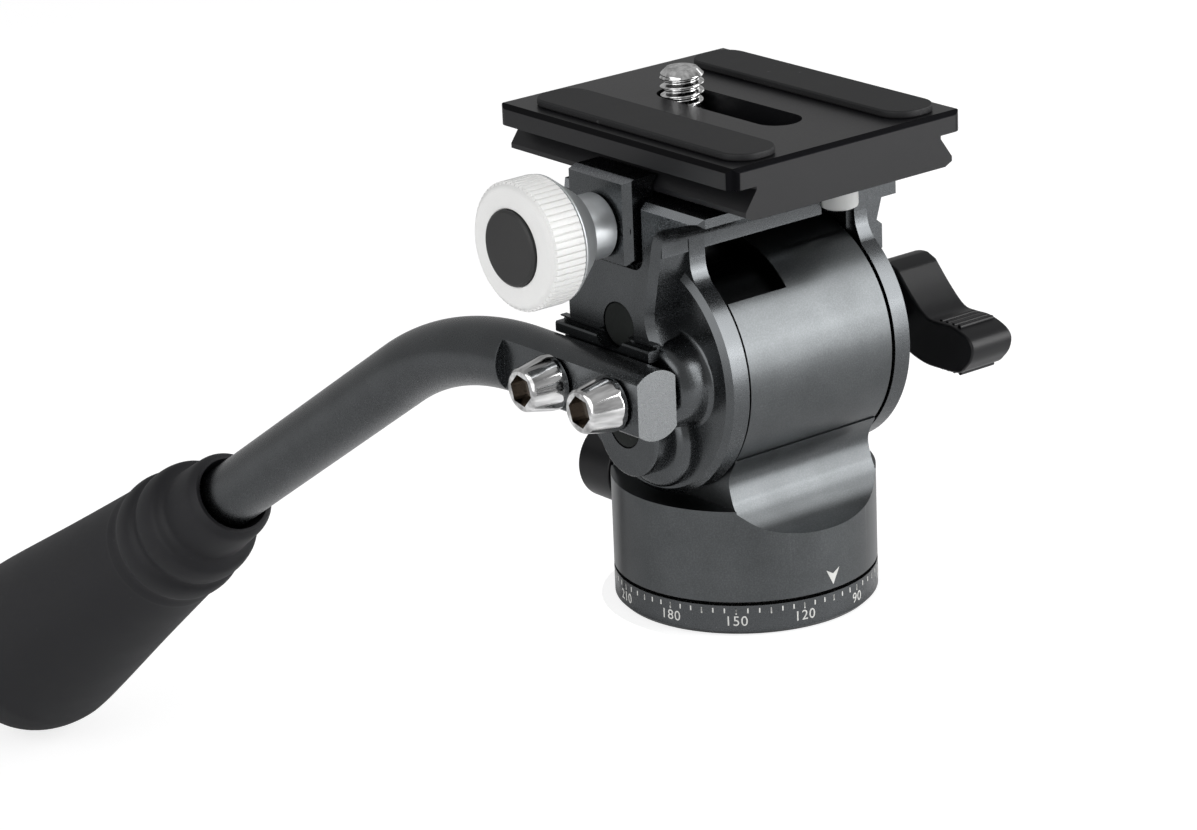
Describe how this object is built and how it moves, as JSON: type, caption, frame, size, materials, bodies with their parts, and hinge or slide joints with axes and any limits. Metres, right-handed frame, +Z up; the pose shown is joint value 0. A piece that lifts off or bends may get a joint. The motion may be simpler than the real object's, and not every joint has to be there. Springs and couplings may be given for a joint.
{
  "type": "fluid video head",
  "caption": "Compact fluid video head: panning base, damped tilt drum held between cheeks, dovetail camera clamp with plate, lock levers and a cranked pan bar with a rubber grip.",
  "frame": {"origin": "on the pan axis at the underside of the base, where the tripod stud enters", "axes": "+Z up along the pan axis; X along the tilt axis with the tilt lock lever at +X and the pan bar at -X; -Y the front, +Y the operator's side, where the grip is"},
  "size_m": [0.0784, 0.1945, 0.1377],
  "materials": {
    "anodised_grey": "satin dark grey anodising",
    "anodised_black": "satin black anodising, bright at the chamfers",
    "black_plastic": "moulded satin black",
    "black_rubber": "matt, finely grained",
    "white_enamel": "satin white",
    "satin_steel": "turned satin",
    "polished_steel": "polished",
    "clear_acrylic": "clear",
    "bronze": "turned",
    "white_acetal": "smooth"
  },
  "bodies": {
    "base": {"graduated_base_ring": "anodised_grey", "pan_spindle": "satin_steel", "tripod_thread_bush": "satin_steel", "base_screw_1": "satin_steel", "base_screw_2": "satin_steel", "base_screw_3": "satin_steel", "pan_thrust_disc": "white_acetal", "spindle_spring_washer": "satin_steel", "spindle_nut": "satin_steel"},
    "pan": {"pan_housing": "anodised_grey", "pan_bush": "bronze", "pan_brake_shoe": "bronze", "damper_cup_left": "anodised_black", "damper_cup_right": "anodised_black", "axle_bush_left": "bronze", "axle_bush_right": "bronze"},
    "pan_lever": {"pan_lock_lever": "black_plastic", "pan_lock_stud": "satin_steel"},
    "tilt": {"tilt_frame": "anodised_grey", "bolt_plug_upper": "black_rubber", "bolt_plug_lower": "black_rubber", "axle_bolt_upper": "satin_steel", "axle_bolt_lower": "satin_steel", "tilt_axle": "satin_steel", "damper_rotor": "anodised_black", "stop_pin": "satin_steel", "level_vial": "clear_acrylic", "jaw_guide_pin_front": "satin_steel", "jaw_guide_pin_rear": "satin_steel", "jaw_spring": "satin_steel", "pan_bar": "anodised_grey", "bar_screw_front": "polished_steel", "bar_screw_rear": "polished_steel", "bar_grip": "black_rubber"},
    "tilt_lever": {"tilt_lock_lever": "black_plastic", "tilt_lock_stud": "satin_steel", "tilt_lever_washer": "satin_steel"},
    "jaw": {"clamp_jaw": "anodised_grey"},
    "knob": {"knob_body": "white_enamel", "knob_cap": "black_plastic", "knob_boss": "satin_steel", "clamp_screw": "satin_steel"},
    "plate": {"camera_plate": "anodised_black", "plate_pad_left": "black_rubber", "plate_pad_right": "black_rubber"},
    "screw_carriage": {"screw_washer": "black_rubber"},
    "camera_screw": {"camera_screw": "polished_steel"}
  },
  "joints": [
    {"name": "pan_turn", "type": "hinge", "parent": "base", "child": "pan", "pos_m": [0, 0, 0], "axis": [0, 0, 1], "continuous": true},
    {"name": "pan_lock_turn", "type": "hinge", "parent": "pan", "child": "pan_lever", "pos_m": [0, 0.027, 0.0123], "axis": [0, 1, 0], "range_deg": [-60, 10]},
    {"name": "tilt_turn", "type": "hinge", "parent": "pan", "child": "tilt", "pos_m": [0, 0, 0.03709], "axis": [1, 0, 0], "range_deg": [-60, 75]},
    {"name": "tilt_lock_turn", "type": "hinge", "parent": "tilt", "child": "tilt_lever", "pos_m": [0.033, 0, 0.03709], "axis": [1, 0, 0], "range_deg": [-60, 30]},
    {"name": "jaw_slide", "type": "slide", "parent": "tilt", "child": "jaw", "axis": [-1, 0, 0], "range_m": [0, 0.0016]},
    {"name": "knob_turn", "type": "hinge", "parent": "jaw", "child": "knob", "pos_m": [-0.034, 0.001, 0.05965], "axis": [-1, 0, 0], "range_deg": [0, 720]},
    {"name": "plate_slide", "type": "slide", "parent": "tilt", "child": "plate", "axis": [0, 1, 0], "range_m": [-0.012, 0.012]},
    {"name": "screw_slide", "type": "slide", "parent": "plate", "child": "screw_carriage", "axis": [0, 1, 0], "range_m": [-0.0198, 0]},
    {"name": "screw_turn", "type": "hinge", "parent": "screw_carriage", "child": "camera_screw", "pos_m": [0, 0.01075, 0.07], "axis": [0, 0, 1], "continuous": true}
  ],
  "couplings": [
    {"joint": "knob_turn", "follows": "jaw_slide", "rad_per_m": 7853}
  ]
}
